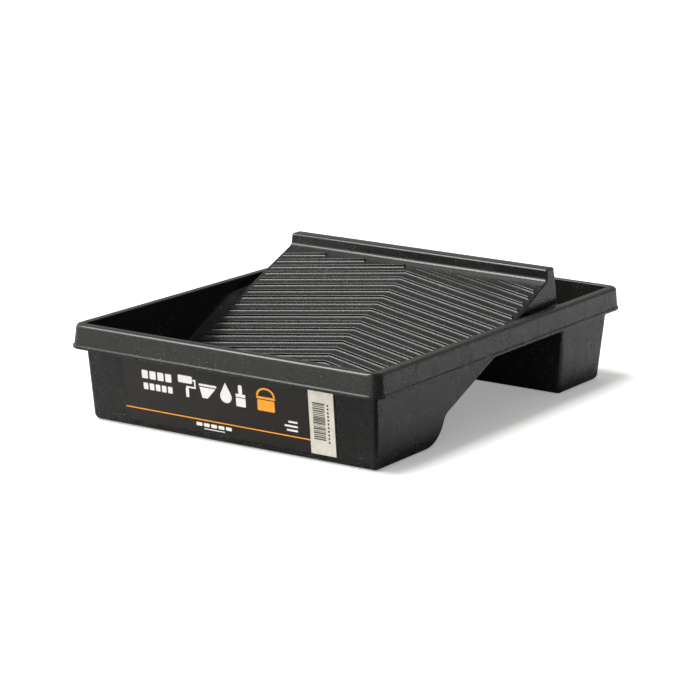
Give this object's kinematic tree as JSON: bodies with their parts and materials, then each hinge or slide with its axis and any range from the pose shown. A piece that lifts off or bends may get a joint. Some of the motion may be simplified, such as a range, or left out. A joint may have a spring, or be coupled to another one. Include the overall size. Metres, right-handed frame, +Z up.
{
  "type": "paint roller tray",
  "caption": "Shallow moulded tray with a paint well, a ribbed roll-off ramp with an upstand, and a rear compartment behind it.",
  "frame": {"origin": "on the floor plane, under the centre of the rim", "axes": "+X across the tray to the right as seen from the labelled front, +Y from the paint well to the rear compartment, +Z up"},
  "size_m": [0.3166, 0.4556, 0.1215],
  "materials": {
    "black_plastic": "satin black polypropylene with fine recycled-plastic flecks",
    "label_film": "satin printed adhesive film, very dark brown"
  },
  "bodies": {
    "root": {"tray_moulding": "black_plastic", "front_label": "label_film"}
  },
  "joints": []
}
